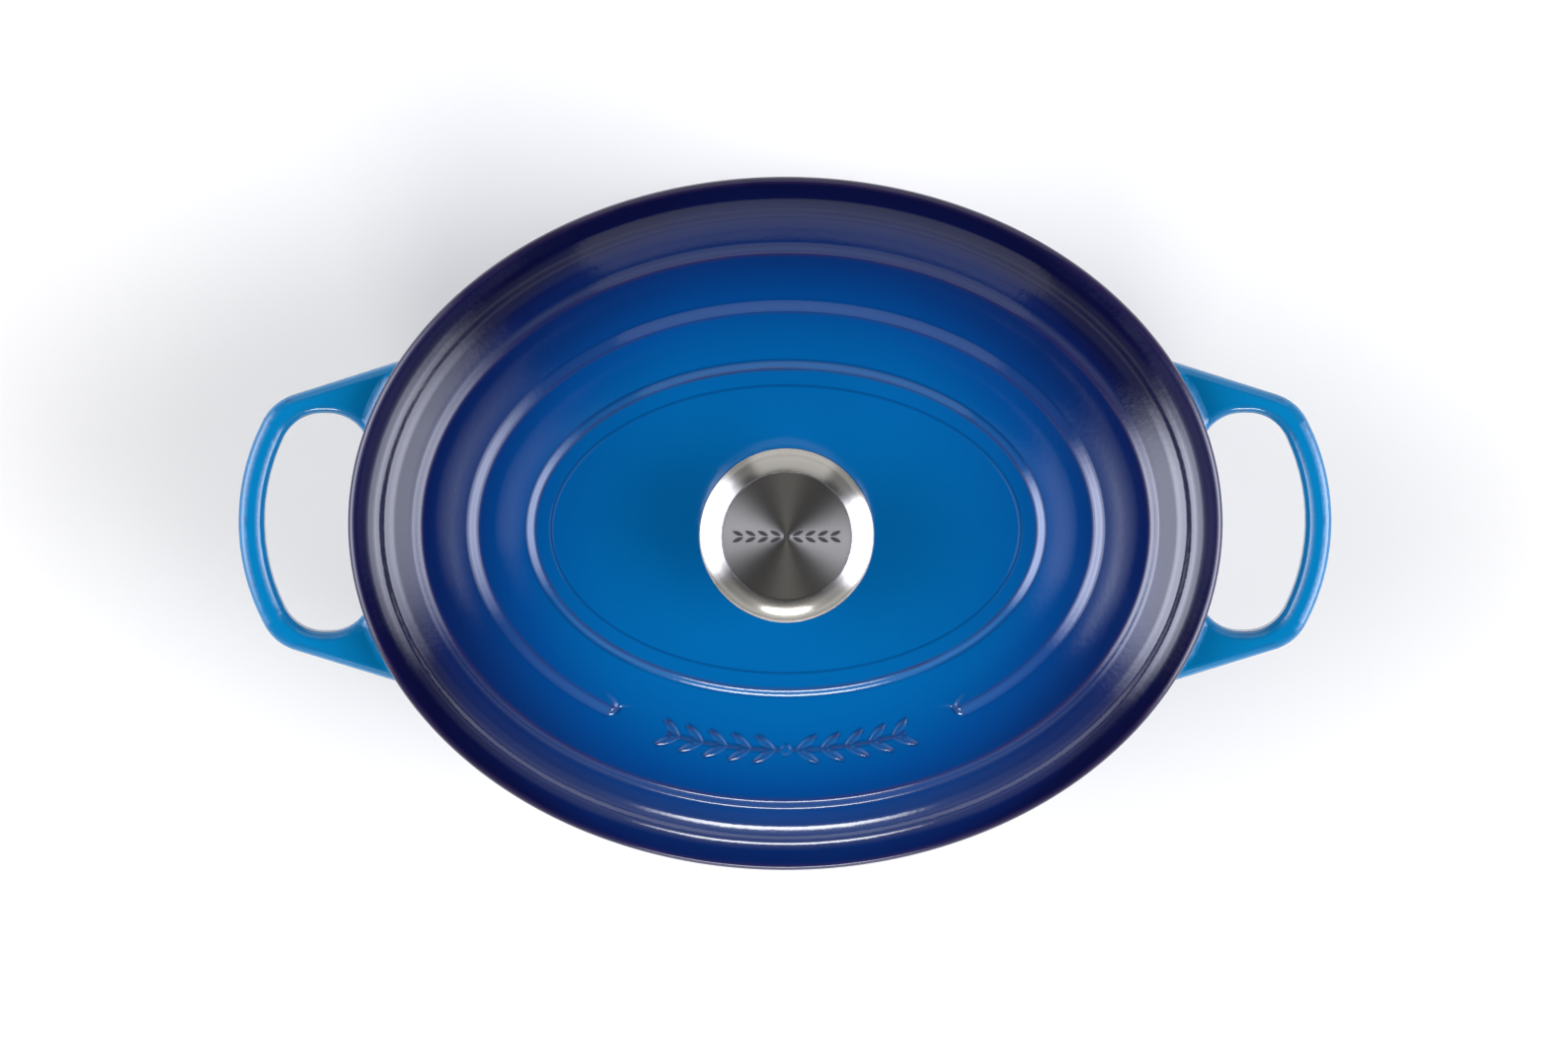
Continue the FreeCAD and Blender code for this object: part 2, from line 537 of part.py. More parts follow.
parts = {"pot": pot(), "lid": lid()}
for make in (knob_cap, knob_body, knob_insert, knob_screw, flat_washer, spring_washer):
    parts[make.__name__] = make().translated(UP * (LID_Z + PLATEAU_Z))

os.makedirs("parts", exist_ok=True)
for name, shape in parts.items():
    shape.exportStep(f"parts/{name}.step")
    print(f"{name:14} valid {shape.isValid()}  {shape.Volume / 1000:8.1f} cm3")
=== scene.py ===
"""Looks of the enamelled cast iron dutch oven: graded blue enamel, spun steel knob, pale studio."""
import math

import bpy
import numpy as np
from mathutils import Matrix, Vector


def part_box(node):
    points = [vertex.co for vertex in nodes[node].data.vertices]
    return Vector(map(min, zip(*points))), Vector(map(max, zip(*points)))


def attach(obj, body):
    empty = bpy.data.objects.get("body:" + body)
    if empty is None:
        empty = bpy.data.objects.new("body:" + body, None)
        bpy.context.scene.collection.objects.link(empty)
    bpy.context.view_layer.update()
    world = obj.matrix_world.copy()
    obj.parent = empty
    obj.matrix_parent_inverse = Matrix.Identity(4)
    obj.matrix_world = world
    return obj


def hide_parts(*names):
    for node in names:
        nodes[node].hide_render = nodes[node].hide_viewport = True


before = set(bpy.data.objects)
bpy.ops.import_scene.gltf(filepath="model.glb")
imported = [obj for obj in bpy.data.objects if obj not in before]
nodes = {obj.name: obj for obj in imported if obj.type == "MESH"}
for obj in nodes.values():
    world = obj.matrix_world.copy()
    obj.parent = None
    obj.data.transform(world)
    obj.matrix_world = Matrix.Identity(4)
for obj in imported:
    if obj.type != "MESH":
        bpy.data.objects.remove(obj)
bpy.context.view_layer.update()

MM = 0.001

# ---- sizes taken from the frame, in millimetres, as are all those below that name no other unit ----
lid_low, lid_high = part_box("lid")
pot_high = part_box("pot")[1]
knob_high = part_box("knob_cap")[1]
HALF_LENGTH = lid_high.x / MM   # of the lid's outline
HALF_WIDTH = lid_high.y / MM
SKIRT_DEPTH = 6.5
LID_Z = lid_low.z / MM + SKIRT_DEPTH
RIM_Z = pot_high.z / MM

# ---- the lid's profile: heights above the flange's underside at each inset from the outline ----
FLANGE_THICKNESS = 7.0
FLANGE_TOP_RADIUS = 2.2
FLANGE_LOW_RADIUS = 0.9
LID_RISES = [             # where each rise starts, where it ends, and its height
    (2.2, 6.4, 0.2),
    (5.4, 17.0, 4.4),
    (9.5, 13.5, 0.95),
    (11.5, 25.5, 3.2),
    (21.8, 25.8, 1.9),
    (29.5, 41.8, 1.75),
    (40.3, 45.1, 2.1),
    (49.5, 61.0, 1.2),
    (60.4, 63.8, 1.6),
]
PANEL_RISES = LID_RISES[5:8]            # the rises that the front panel interrupts
PANEL_START, PANEL_END = 29.5, 61.0
PANEL_HALF_ANGLE = 33.6
RING_START, RING_END = PANEL_RISES[1][:2]  # the steep one of them, which stands out as a ring
RING_END_WIDTH = 2.2                    # over which the ring rounds off into the panel
RING_END_RADIUS = 2.6                   # of the corner where it turns inward
GENTLE_END_WIDTH = 22.0                 # over which the gentle rises on both sides of it do
GENTLE_REACH = 4.0                      # how far from the ring that width is reached
GROOVE_INSET, GROOVE_WIDTH, GROOVE_DEPTH = 69.0, 1.8, 0.1
PLATEAU_INSET = 71.5
SCREW_HOLE_RADIUS = 3.4

# ---- the lid's underside ----
SKIRT_OUTER_INSET = 9.0
SKIRT_INNER_INSET = 12.3
TIP_HEIGHT, TIP_INSET = 1.0, 0.4        # of the rounding at the skirt's tip
SAND_START = 0.5                        # height at which the black rim enamel ends inside the skirt
LID_UNDERSIDE = [(12.7, 2.0), (13.9, 6.9), (17.0, 9.6), (21.8, 11.6), (27.0, 13.7), (38.0, 15.4),
                 (46.0, 17.3), (58.0, 19.1), (63.0, 20.3), (68.0, 20.3)]
LUG_ANGLES = (40, 140, 220, 320)        # the small cast lugs that centre the skirt
LUG_RADIUS, LUG_PROUD, LUG_HEIGHT = 2.2, 0.8, 5.5
LUG_STEP = 0.7                          # in and up, round each lug's lower end
LUG_SIDES = 32

# ---- how finely the lid is drawn ----
ROW_SPANS = [             # its rows: up to which inset, and how far apart
    (27.0, 0.5), (34.0, 1.0), (52.5, 0.42), (59.5, 1.0), (64.8, 0.4), (67.8, 1.0), (70.2, 0.3),
    (71.5, 0.65),
]
UNDERSIDE_SAMPLES = 2                   # rows per point of the underside
LOW_EDGE_STEPS, TOP_EDGE_STEPS = 4, 8   # of the flange's rounded edges
TOP_DISC_ROWS, UNDER_DISC_ROWS = 5, 4   # from the last oval row in to the screw hole
COARSE_TURN, FINE_TURN = 1.25, 0.3      # spacing of its columns, in degrees
FINE_HALF_ANGLE = 37.0                  # of the front, which has fine columns for the sprig and ring ends

# ---- the raised sprig on the lid's front panel ----
SPRIG_INSET = 42.6
SPRIG_HEIGHT = 0.36
BUD_RADIUS = 2.3
STEM_WIDTH = 0.9
STEM_SHARE = 0.6          # the stem's height as a share of the leaves'
LEAF_PAIRS, LEAF_SPACING = 5, 8.2
LEAF_START = 0.45         # of a spacing, from the middle to the first pair
LEAF_LENGTH, LEAF_WIDTH, LEAF_SPLAY = 8.0, 3.0, 34.0
LEAF_BLUNTNESS = 0.75     # power of the sine that draws a leaf's outline
BUD_FLANK, STEM_FLANK, LEAF_FLANK = 0.6, 0.8, 0.7  # share of each half width that slopes

# ---- how the enamel lies ----
SPRAY_SHIFT = 6.0         # the lid's bright middle lies this far to the front
SPRAY_HALF_WIDTH = 134.5  # of the oval in which the lid's blue is sprayed, which is as long as the lid
SPRAY_DRIFT = 0.06        # unevenness of the sprayed shade
POOL_SHARE = 0.55         # how far the pooled glaze's colour takes over in a sharp hollow
POOLED_BLUE = (0.0015, 0.012, 0.070, 1)
BEND_SPAN = (0.12, 0.6)   # curvatures per millimetre between which it thins on a ridge or pools in a hollow
WORN_INSET = 66.5         # the lid's enamel shows no thin ridges inside this
RIM_BAND = 1.2            # depth of the pot's bare black rim
POT_FLOOR_TOP = 15.0      # the cooking floor and its corner lie below this
WALL_FACING, FLOOR_FACING = -0.2, 0.6  # outward and upward parts of the normals of the pot's inside

# ---- the knob ----
KNOB_FACE_RADIUS = 21.0   # the face, and where the small slope round it ends
KNOB_SLOPE_RADIUS = 21.55
KNOB_FACE_RECESS = 0.4
MARK_PROUD = 0.04         # the etched mark stands this far off the face
MARK_THICKNESS = 1.5 * MARK_PROUD
MARK_BUD_RADIUS, MARK_BUD_SIDES = 1.0, 24
MARK_PAIRS, MARK_SPACING = 4, 4.1
MARK_LEAF_LENGTH, MARK_LEAF_WIDTH, MARK_SPLAY = 3.9, 1.35, 24.0
MARK_LEAF_BLUNTNESS, MARK_LEAF_POINTS = 0.8, 9  # the points along each side of a leaf
MARK_LEAF_GAP, MARK_MIDDLE_GAP = 0.9, 0.25  # between bud and leaves, and from the middle line to a leaf

# ---- the studio ----
FLOOR_HALF = 6.0                        # half the floor's side, in metres
CAMERA_DISTANCE, FRAME_WIDTH = 1.8, 0.527         # in metres, the second across the picture at the lid
CAMERA_AIM = (-0.00055, 0.0007)                   # how far right and back of the middle, in metres
CAMERA_LEAN_BACK, CAMERA_LEAN_RIGHT = 4.3, -0.4   # off the vertical, in degrees
SENSOR_WIDTH = 36.0
BOX_SHARES = [(0.03, 0), (0.09, 0.6), (0.17, 0.75), (0.34, 0.8), (0.40, 1), (0.50, 1), (0.62, 0.58),
              (0.70, 0.52), (0.79, 0.56), (0.90, 0.13), (0.952, 0.075), (0.975, 0.05), (0.99, 0.033),
              (0.998, 0)]
PANEL_SHARES = [(0.34, 0.3), (0.42, 0.50), (0.60, 0.42), (0.72, 0.5), (0.80, 0.5), (0.86, 0)]
STRIP_SHARES = [(0.34, 0), (0.355, 1), (0.48, 1), (0.495, 0)]
FRONT_HAZE_SHARES = [(0.55, 1), (0.80, 0)]
# each light's azimuth, the cosines off it where it sets in and is full, its radiance, and the share of
# that at each height, which is the sine of the elevation
LIGHTS = [
    (-8.5, (0.80, 0.98), (7.9, 8.2, 9.6), BOX_SHARES),          # soft box on the right
    (176, (0.74, 1.0), (6.1, 6.35, 7.4), BOX_SHARES),           # soft box on the left
    (84.5, (0.829, 0.857), (1.1, 1.1, 1.1), PANEL_SHARES),      # panel behind
    (270, (0.6, 0.95), (0.2, 0.2, 0.2), FRONT_HAZE_SHARES),     # glow in front
    (270, (0.955, 0.997), (17.0, 17.0, 17.0), STRIP_SHARES),    # thin strip in front
]
HAZES = [  # in the same way, but all round
    (None, None, (0.25, 0.25, 0.25), [(0.02, 0), (0.10, 1), (0.27, 1), (0.33, 0)]),
    (None, None, (0.18, 0.18, 0.18), [(0.05, 0), (0.15, 1), (0.60, 1), (0.80, 0)]),
]

OUTSIDE, BLACK, SAND = range(3)  # the enamels, as places in a casting's list of materials


# ---- small helpers ----
def smooth_step(x, start, end):
    t = np.clip((x - start) / (end - start), 0, 1)
    return t * t * (3 - 2 * t)


def smooth_curve(points, samples):
    """A cubic B-spline with these poles, through its first and last, with some samples per span."""
    poles = np.array([points[0]] * 2 + list(points) + [points[-1]] * 2, float)
    found = []
    for a, b, c, d in zip(poles, poles[1:], poles[2:], poles[3:]):
        for u in np.arange(samples) / samples:
            found.append(((1 - u)**3 * a + (3 * u**3 - 6 * u**2 + 4) * b
                          + (-3 * u**3 + 3 * u**2 + 3 * u + 1) * c + u**3 * d) / 6)
    return found + [poles[-1]]


def new_object(mesh, smooth=True):
    """An object of the scene with this mesh and its name."""
    mesh.polygons.foreach_set("use_smooth", [smooth] * len(mesh.polygons))
    piece = bpy.data.objects.new(mesh.name, mesh)
    bpy.context.scene.collection.objects.link(piece)
    return piece


def mesh_from(name, vertices, faces):
    mesh = bpy.data.meshes.new(name)
    mesh.from_pydata(vertices, [], faces)
    mesh.update()
    return mesh


def loop_grid(rows, columns):
    """Faces of a grid that closes on itself both ways."""
    r, c = np.meshgrid(np.arange(rows), np.arange(columns), indexing="ij")
    r2, c2 = (r + 1) % rows, (c + 1) % columns
    corners = [r * columns + c, r * columns + c2, r2 * columns + c2, r2 * columns + c]
    return np.stack(corners, -1).reshape(-1, 4)


def stack_rings(rings, vertices, faces):
    """Add a closed solid through rings of points, from the top one down, each anticlockwise from above."""
    count = len(rings[0])
    start = len(vertices)
    places = [range(start + row * count, start + (row + 1) * count) for row in range(len(rings))]
    for ring in rings:
        vertices.extend(ring)
    faces.extend([tuple(places[0]), tuple(reversed(places[-1]))])
    for upper, lower in zip(places, places[1:]):
        faces.extend((upper[i - 1], lower[i - 1], lower[i], upper[i]) for i in range(count))


def mark_bends(piece, worn=1.0):
    """Store on each point how sharply the surface bends: "ridge" where it is convex and worn, by a share
    for each point, and "pool" where it is hollow."""
    mesh = piece.data
    ends = np.empty(len(mesh.edges) * 2, np.int32)
    places, normals = np.empty(len(mesh.vertices) * 3), np.empty(len(mesh.vertices) * 3)
    mesh.edges.foreach_get("vertices", ends)
    mesh.vertices.foreach_get("co", places)
    mesh.vertices.foreach_get("normal", normals)
    a, b = ends.reshape(-1, 2).T
    places, normals = places.reshape(-1, 3) / MM, normals.reshape(-1, 3)
    step = places[b] - places[a]
    bend = ((normals[b] - normals[a]) * step).sum(1) / np.maximum((step**2).sum(1), 1e-6)
    for name, sign, share in (("ridge", 1, worn), ("pool", -1, 1.0)):
        value = np.zeros(len(mesh.vertices))
        for end in (a, b):
            np.maximum.at(value, end, sign * bend)
        layer = mesh.attributes.new(name, "FLOAT", "POINT")
        layer.data.foreach_set("value", (share * smooth_step(value, *BEND_SPAN)).astype(np.float32))


# ---- the lid ----
def degrees_from_front(angle):
    """Round from the middle of the front, from -180 to 180 degrees."""
    return (np.degrees(angle) + 90 + 180) % 360 - 180


def rises(inset, steps):
    return sum(height * smooth_step(inset, start, end) for start, end, height in steps)


def lid_top(inset, angle):
    """Height of the lid's top. At the front an even slope takes the place of the middle rises."""
    off = np.clip(np.abs(inset - GROOVE_INSET) / (GROOVE_WIDTH / 2), 0, 1)
    height = FLANGE_THICKNESS + rises(inset, LID_RISES) - GROOVE_DEPTH * (1 + np.cos(np.pi * off)) / 2
    from_front = np.abs(degrees_from_front(angle))
    along = np.radians(from_front - PANEL_HALF_ANGLE) * (HALF_LENGTH - inset)
    inward = np.clip(RING_END_RADIUS - (inset - RING_START), 0, RING_END_RADIUS)
    corner = RING_END_RADIUS - np.sqrt(RING_END_RADIUS**2 - inward**2)
    apart = np.maximum(RING_START - inset, inset - RING_END)
    width = RING_END_WIDTH + (GENTLE_END_WIDTH - RING_END_WIDTH) * smooth_step(apart, 0, GENTLE_REACH)
    ring = smooth_step(along - corner, -width / 2, width / 2)
    share = np.clip((inset - PANEL_START) / (PANEL_END - PANEL_START), 0, 1)
    slope = share * sum(step[2] for step in PANEL_RISES)
    return height + (1 - ring) * (slope - rises(inset, PANEL_RISES))


def leaf(u, v):
    """How far inside a pointed leaf along u the points are, from 0 at its outline to 1 on its midrib."""
    t = np.clip(u / LEAF_LENGTH, 0, 1)
    half = LEAF_WIDTH / 2 * np.sin(np.pi * t)**LEAF_BLUNTNESS
    return np.where((u > 0) & (u < LEAF_LENGTH), np.clip(1 - np.abs(v) / np.maximum(half, 1e-6), 0, 1), 0)


def sprig(inset, angle):
    """Height of the raised sprig: a bud at the front's middle, a stem each way and pairs of leaves."""
    along = np.radians(degrees_from_front(angle)) * (HALF_LENGTH - SPRIG_INSET)
    across = inset - SPRIG_INSET
    side = np.abs(along)
    bud = np.clip(1 - np.hypot(along, across) / BUD_RADIUS, 0, 1)
    stem = np.clip(1 - np.abs(across) / (STEM_WIDTH / 2), 0, 1) * (side < LEAF_PAIRS * LEAF_SPACING)
    height = np.maximum(smooth_step(bud, 0, BUD_FLANK), STEM_SHARE * smooth_step(stem, 0, STEM_FLANK))
    splay = math.radians(LEAF_SPLAY)
    for pair in range(LEAF_PAIRS):
        past_root = side - (pair + LEAF_START) * LEAF_SPACING
        for hand in (-1, 1):
            u = past_root * math.cos(splay) + hand * across * math.sin(splay)
            v = hand * across * math.cos(splay) - past_root * math.sin(splay)
            height = np.maximum(height, smooth_step(leaf(u, v), 0, LEAF_FLANK))
    return SPRIG_HEIGHT * height


def lid_angles():
    fine = np.arange(-90 - FINE_HALF_ANGLE, -90 + FINE_HALF_ANGLE, FINE_TURN)
    coarse = np.arange(-90 + FINE_HALF_ANGLE, 270 - FINE_HALF_ANGLE - COARSE_TURN / 4, COARSE_TURN)
    return np.radians(np.concatenate([fine, coarse]))


def lid_insets():
    found, start = [], FLANGE_TOP_RADIUS
    for end, step in ROW_SPANS:
        found += list(np.linspace(start, end, round((end - start) / step), endpoint=False))
        start = end
    return found + [PLATEAU_INSET]


def make_lid():
    """The whole casting as one closed grid, from the screw hole out under the lid and back over its top."""
    angles = lid_angles()
    cos, sin = np.cos(angles), np.sin(angles)
    rows, looks, worn = [], [], []

    def add_row(inset, height, look):
        height = np.broadcast_to(height, angles.shape)
        rows.append(np.stack([(HALF_LENGTH - inset) * cos, (HALF_WIDTH - inset) * sin, LID_Z + height], -1))
        looks.append(look)
        worn.append(float(inset < WORN_INSET))

    def disc_rows(steps, start_row, hole_height):
        """Rows that run in from an oval row to the round screw hole."""
        height = np.full(angles.shape, LID_Z + hole_height)
        hole = np.stack([SCREW_HOLE_RADIUS * cos, SCREW_HOLE_RADIUS * sin, height], -1)
        return [start_row + (hole - start_row) * step / steps for step in range(1, steps + 1)]

    tip = TIP_HEIGHT - SKIRT_DEPTH
    skirt = [(SKIRT_OUTER_INSET, 0), (SKIRT_OUTER_INSET, tip),
             (SKIRT_OUTER_INSET + TIP_INSET, -SKIRT_DEPTH), (SKIRT_INNER_INSET - TIP_INSET, -SKIRT_DEPTH),
             (SKIRT_INNER_INSET, tip)]
    hollow = smooth_curve(skirt + LID_UNDERSIDE, UNDERSIDE_SAMPLES)
    for inset, height in reversed(hollow):
        add_row(inset, height, SAND if height > SAND_START and inset > SKIRT_INNER_INSET else BLACK)
    add_row(FLANGE_LOW_RADIUS, 0, BLACK)
    for step in range(1, LOW_EDGE_STEPS + 1):
        turn = math.pi / 2 * step / LOW_EDGE_STEPS
        add_row(FLANGE_LOW_RADIUS * (1 - math.sin(turn)), FLANGE_LOW_RADIUS * (1 - math.cos(turn)), OUTSIDE)
    for step in range(TOP_EDGE_STEPS + 1):
        turn = math.pi / 2 * step / TOP_EDGE_STEPS
        add_row(FLANGE_TOP_RADIUS * (1 - math.cos(turn)),
                FLANGE_THICKNESS - FLANGE_TOP_RADIUS * (1 - math.sin(turn)), OUTSIDE)
    for inset in lid_insets()[1:]:
        add_row(inset, lid_top(inset, angles) + sprig(inset, angles), OUTSIDE)
    top_disc = disc_rows(TOP_DISC_ROWS, rows[-1], lid_top(PLATEAU_INSET, np.zeros(1))[0])
    under_disc = disc_rows(UNDER_DISC_ROWS, rows[0], LID_UNDERSIDE[-1][1])
    rows = under_disc[::-1] + rows + top_disc
    looks = [SAND] * len(under_disc) + looks + [OUTSIDE] * len(top_disc)
    looks[-1] = SAND  # the wall of the screw hole
    worn = [0.0] * len(under_disc) + worn + [0.0] * len(top_disc)
    points = np.array(rows).reshape(-1, 3) * MM
    faces = loop_grid(len(rows), len(angles))
    piece = new_object(mesh_from("lid_casting", points.tolist(), faces.tolist()))
    piece.data.polygons.foreach_set("material_index", np.repeat(looks, len(angles)))
    mark_bends(piece, np.repeat(worn, len(angles)))
    return piece


def make_lugs():
    """The small cast lugs, half sunk into the skirt, each with a narrower lower end."""
    neck = LUG_RADIUS - LUG_STEP
    profile = [(LUG_RADIUS, LUG_HEIGHT), (LUG_RADIUS, LUG_STEP), (LUG_RADIUS - LUG_STEP / 2, LUG_STEP),
               (neck, LUG_STEP), (neck, LUG_STEP / 2), (neck, 0)]
    inset = SKIRT_OUTER_INSET - LUG_PROUD + LUG_RADIUS
    turns = np.linspace(0, 2 * math.pi, LUG_SIDES, endpoint=False)
    vertices, faces = [], []
    for angle in LUG_ANGLES:
        x = (HALF_LENGTH - inset) * math.cos(math.radians(angle))
        y = (HALF_WIDTH - inset) * math.sin(math.radians(angle))
        rings = [[((x + radius * math.cos(turn)) * MM, (y + radius * math.sin(turn)) * MM,
                   (LID_Z - LUG_HEIGHT + height) * MM) for turn in turns] for radius, height in profile]
        stack_rings(rings, vertices, faces)
    return new_object(mesh_from("lid_lugs", vertices, faces))


def copy_of(node, name):
    """A new piece with a CAD node's mesh, to take materials face by face."""
    piece = nodes[node].copy()
    piece.data = nodes[node].data.copy()
    piece.name = piece.data.name = name
    piece.data.materials.clear()
    bpy.context.scene.collection.objects.link(piece)
    return piece


def face_places(piece):
    """Centre and normal of each face, in millimetres."""
    count = len(piece.data.polygons)
    centres, normals = np.empty(count * 3), np.empty(count * 3)
    piece.data.polygons.foreach_get("center", centres)
    piece.data.polygons.foreach_get("normal", normals)
    return centres.reshape(-1, 3) / MM, normals.reshape(-1, 3)


def make_pot():
    """The pot's casting, its faces shared out between the enamels: outside, black rim and sand inside."""
    piece = copy_of("pot", "pot_casting")
    centres, normals = face_places(piece)
    x, y, z = centres.T
    outward = np.stack([x / HALF_LENGTH**2, y / HALF_WIDTH**2], -1)
    outward /= np.maximum(np.linalg.norm(outward, axis=1, keepdims=True), 1e-9)
    within = (x / HALF_LENGTH)**2 + (y / HALF_WIDTH)**2 < 1
    inward = (outward * normals[:, :2]).sum(1) < WALL_FACING
    floor = (normals[:, 2] > FLOOR_FACING) & (z < POT_FLOOR_TOP)
    looks = np.where(within & (inward | floor), SAND, OUTSIDE)
    looks[z > RIM_Z - RIM_BAND] = BLACK
    piece.data.polygons.foreach_set("material_index", looks.astype(np.int32))
    mark_bends(piece)
    return piece


# ---- the knob ----
def make_knob_cap():
    """The knob's pressed top. Its finishes are, in order, the spun face, the slope in dark steel with
    painted shade, and the polished bevel.
    """
    piece = copy_of("knob_cap", "knob_top")
    centres = face_places(piece)[0]
    looks = np.digitize(np.hypot(*centres.T[:2]), [KNOB_FACE_RADIUS, KNOB_SLOPE_RADIUS])
    piece.data.polygons.foreach_set("material_index", looks.astype(np.int32))
    return piece


def make_knob_mark():
    """A band of small etched leaves across the knob's face, each a thin dark plate."""
    top = knob_high.z - (KNOB_FACE_RECESS - MARK_PROUD) * MM
    vertices, faces = [], []

    def plate(outline):
        heights = (top, top - MARK_THICKNESS * MM)
        stack_rings([[(x * MM, y * MM, z) for x, y in outline] for z in heights], vertices, faces)

    turns = np.linspace(0, 2 * math.pi, MARK_BUD_SIDES, endpoint=False)
    plate([(MARK_BUD_RADIUS * math.cos(turn), MARK_BUD_RADIUS * math.sin(turn)) for turn in turns])
    share = np.linspace(0, 1, MARK_LEAF_POINTS)
    half = MARK_LEAF_WIDTH / 2 * np.sin(np.pi * share)**MARK_LEAF_BLUNTNESS
    sides = list(zip(share, -half)) + list(zip(share, half))[-2:0:-1]
    splay = math.radians(MARK_SPLAY)
    for side in (-1, 1):
        for pair in range(MARK_PAIRS):
            root = MARK_BUD_RADIUS + MARK_LEAF_GAP + pair * MARK_SPACING
            for hand in (-1, 1):
                outline = []
                for along, across in sides:
                    u = along * MARK_LEAF_LENGTH
                    x = root + u * math.cos(splay) - across * math.sin(splay)
                    y = MARK_MIDDLE_GAP + u * math.sin(splay) + across * math.cos(splay)
                    outline.append((side * x, hand * y))
                plate(outline[::side * hand])
    return new_object(mesh_from("knob_mark", vertices, faces), smooth=False)


# ---- node helpers ----
class Tree:
    """Short calls to build the nodes of one material, or of the world."""

    def __init__(self, name, kind="materials"):
        self.owner = getattr(bpy.data, kind).new(name)
        self.owner.use_nodes = True
        self.nodes = self.owner.node_tree.nodes
        self.links = self.owner.node_tree.links
        self.shader = self.nodes["Background" if kind == "worlds" else "Principled BSDF"]

    def add(self, kind, links=None, **settings):
        node = self.nodes.new(kind)
        for key, value in settings.items():
            setattr(node, key, value)
        for key, value in (links or {}).items():
            self.put(node.inputs[key], value)
        return node

    def put(self, socket, value):
        if isinstance(value, bpy.types.NodeSocket):
            self.links.new(value, socket)
        else:
            socket.default_value = value

    def set(self, **values):
        for key, value in values.items():
            self.put(self.shader.inputs[key.replace("_", " ")], value)

    def math(self, operation, a, b=0.0):
        return self.add("ShaderNodeMath", {0: a, 1: b}, operation=operation).outputs[0]

    def vector(self, operation, a, b):
        return self.add("ShaderNodeVectorMath", {0: a, 1: b}, operation=operation).outputs[0]

    def length(self, x, y):
        squares = self.math("ADD", self.math("MULTIPLY", x, x), self.math("MULTIPLY", y, y))
        return self.math("SQRT", squares)

    def rise(self, value, low, span):
        """From low at 0, up by the span at 1."""
        return self.math("ADD", self.math("MULTIPLY", value, span), low)

    def fade(self, value, start, end):
        """From 0 at start to 1 at end, smoothly."""
        node = self.add("ShaderNodeMapRange", {"Value": value, "From Min": start, "From Max": end},
                        interpolation_type="SMOOTHSTEP")
        return node.outputs[0]

    def ramp(self, factor, stops):
        """Colours at their places from 0 to 1, evenly blended."""
        node = self.add("ShaderNodeValToRGB", {0: factor})
        elements = node.color_ramp.elements
        while len(elements) < len(stops):
            elements.new(0.5)
        for element, (place, colour) in zip(elements, stops):
            element.position = place
            element.color = (*colour, 1)
        return node.outputs[0]

    def mix(self, factor, a, b):
        node = self.add("ShaderNodeMix", data_type="RGBA")
        self.put(node.inputs[0], factor)
        self.put(node.inputs[6], a)
        self.put(node.inputs[7], b)
        return node.outputs[2]

    def position(self):
        return self.add("ShaderNodeTexCoord").outputs["Object"]

    def split(self, vector):
        return self.add("ShaderNodeSeparateXYZ", {0: vector}).outputs

    def stored(self, name):
        """A value that the mesh stores on its points."""
        return self.add("ShaderNodeAttribute", attribute_name=name).outputs["Fac"]

    def noise(self, place, scale, detail, roughness=0.5):
        links = {"Vector": place, "Scale": scale, "Detail": detail, "Roughness": roughness}
        return self.add("ShaderNodeTexNoise", links).outputs["Fac"]

    def bump(self, height, distance, normal=None):
        links = {"Height": height, "Distance": distance}
        if normal is not None:
            links["Normal"] = normal
        return self.add("ShaderNodeBump", links).outputs["Normal"]


def grey(value):
    return (value, value, value)


def grey_stops(levels):
    return [(place, grey(level)) for place, level in levels]


def enamel_skin(tree, place, roughness=0.1):
    """Fired glass: a clear gloss, a faint orange peel and a slow waviness from the casting beneath."""
    peel = tree.bump(tree.noise(place, scale=520.0, detail=2.0), distance=0.02 * MM)
    wave = tree.bump(tree.noise(place, scale=38.0, detail=1.0), distance=0.25 * MM, normal=peel)
    tree.set(Roughness=roughness, IOR=1.6, Normal=wave)


def enamel_colour(tree, place, shade, blues, thin):
    """A sprayed grading by shade, deeper where the glaze pools and tinted where it thins on a ridge."""
    drift = tree.math("SUBTRACT", tree.noise(place, scale=14.0, detail=3.0), 0.5)
    colour = tree.ramp(tree.math("ADD", shade, tree.math("MULTIPLY", drift, SPRAY_DRIFT)), blues)
    colour = tree.mix(tree.math("MULTIPLY", tree.stored("pool"), POOL_SHARE), colour, POOLED_BLUE)
    patchy = tree.ramp(tree.noise(place, scale=60.0, detail=3.0), grey_stops([(0.3, 0.3), (0.7, 0.75)]))
    tree.set(Base_Color=tree.mix(tree.math("MULTIPLY", tree.stored("ridge"), patchy), colour, thin))


